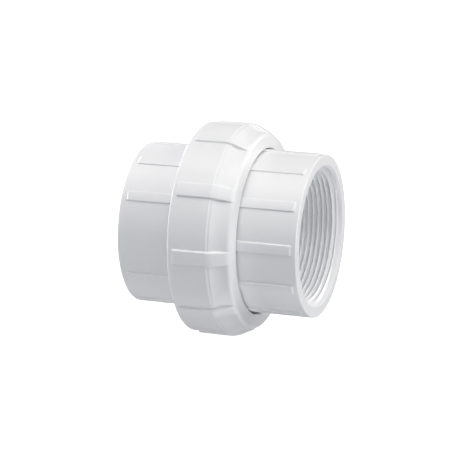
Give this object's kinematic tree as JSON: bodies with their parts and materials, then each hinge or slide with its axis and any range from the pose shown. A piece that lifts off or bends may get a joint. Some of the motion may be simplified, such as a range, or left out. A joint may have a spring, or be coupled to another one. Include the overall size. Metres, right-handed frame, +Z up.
{
  "type": "threaded pipe union",
  "caption": "White PVC pipe union: a ribbed nut joins two ribbed hubs with tapered inside threads, sealed by an O-ring.",
  "frame": {"origin": "on the waterway's axis, halfway between the two mouth faces", "axes": "+X along the waterway, from the threaded end towards the tailpiece's mouth; +Z up"},
  "size_m": [0.0808, 0.0938, 0.0922],
  "materials": {
    "pvc_threaded_end": "satin",
    "pvc_tailpiece": "satin",
    "pvc_nut": "satin",
    "seal_rubber": "matte"
  },
  "bodies": {
    "threaded_end": {"threaded_end": "pvc_threaded_end"},
    "seal": {"o_ring": "seal_rubber"},
    "nut": {"union_nut": "pvc_nut"},
    "tailpiece": {"flanged_tailpiece": "pvc_tailpiece"}
  },
  "joints": [
    {"name": "nut_turn", "type": "hinge", "parent": "seal", "child": "nut", "pos_m": [0.0089, 0, 0], "axis": [1, 0, 0], "range_deg": [0, 1440]},
    {"name": "union_opening", "type": "slide", "parent": "threaded_end", "child": "seal", "axis": [1, 0, 0], "range_m": [0, 0.01694]},
    {"name": "tailpiece_swivel", "type": "hinge", "parent": "seal", "child": "tailpiece", "pos_m": [0.0037, 0, 0], "axis": [1, 0, 0], "continuous": true}
  ],
  "couplings": [
    {"joint": "union_opening", "follows": "nut_turn", "m_per_rad": 0.00067376}
  ]
}
